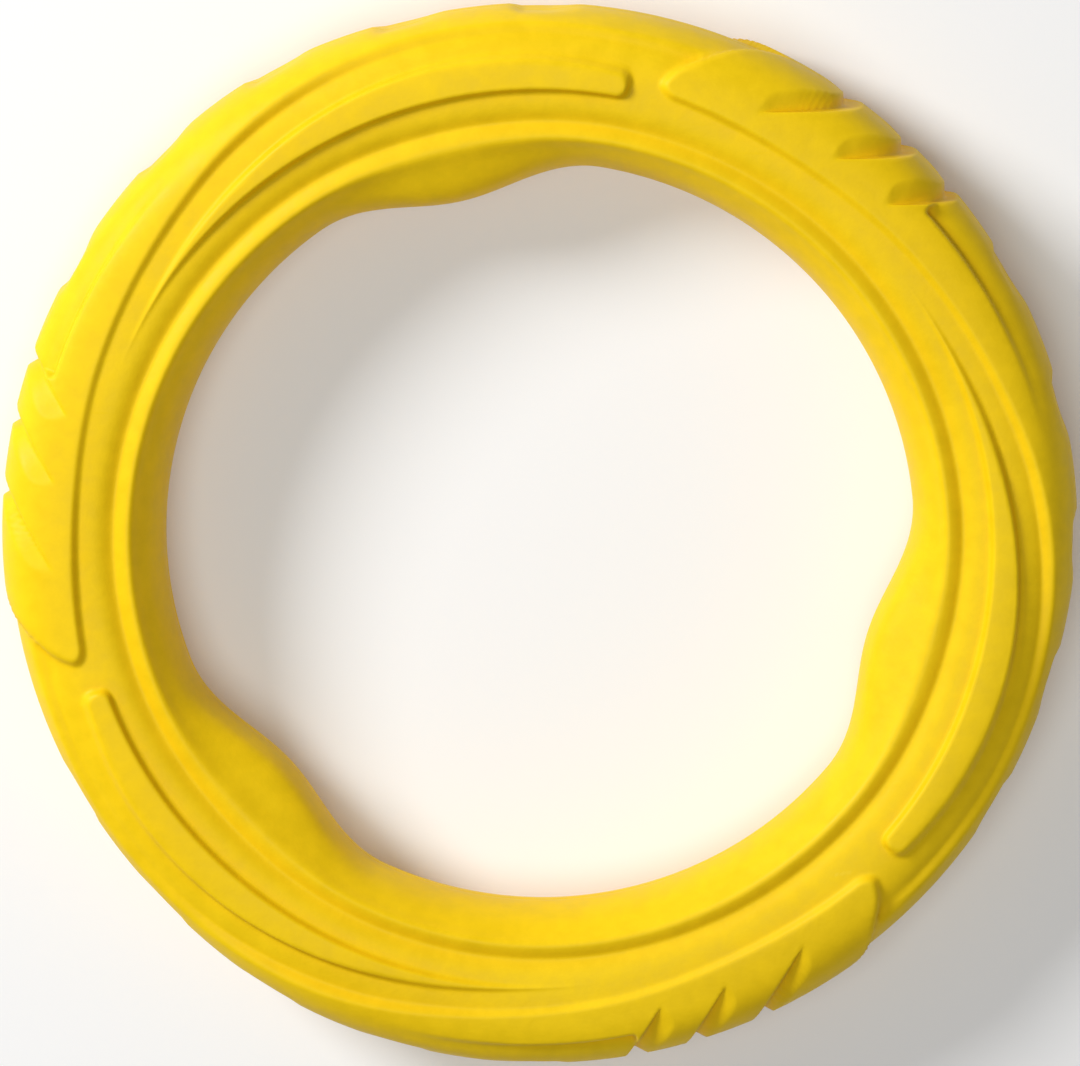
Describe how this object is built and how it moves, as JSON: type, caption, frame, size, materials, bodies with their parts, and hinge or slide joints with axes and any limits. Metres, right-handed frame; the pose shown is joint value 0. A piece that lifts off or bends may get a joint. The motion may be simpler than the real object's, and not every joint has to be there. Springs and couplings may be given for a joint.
{
  "type": "juggling ring",
  "caption": "Thick soft throwing ring with a boxy rounded section, raised sweeping bands, grip grooves and finger bulges inside.",
  "frame": {"origin": "centre of the ring on the mid-plane where the two skin halves meet", "axes": "+Z along the ring's axis, out of the front face; +X through the pattern sector that starts at angle 0"},
  "size_m": [0.2813, 0.2795, 0.042],
  "materials": {
    "yellow_skin": "satin moulded foam-rubber skin",
    "core_foam": "matt closed-cell foam"
  },
  "bodies": {
    "root": {"front_shell": "yellow_skin", "back_shell": "yellow_skin", "foam_core": "core_foam"}
  },
  "joints": []
}
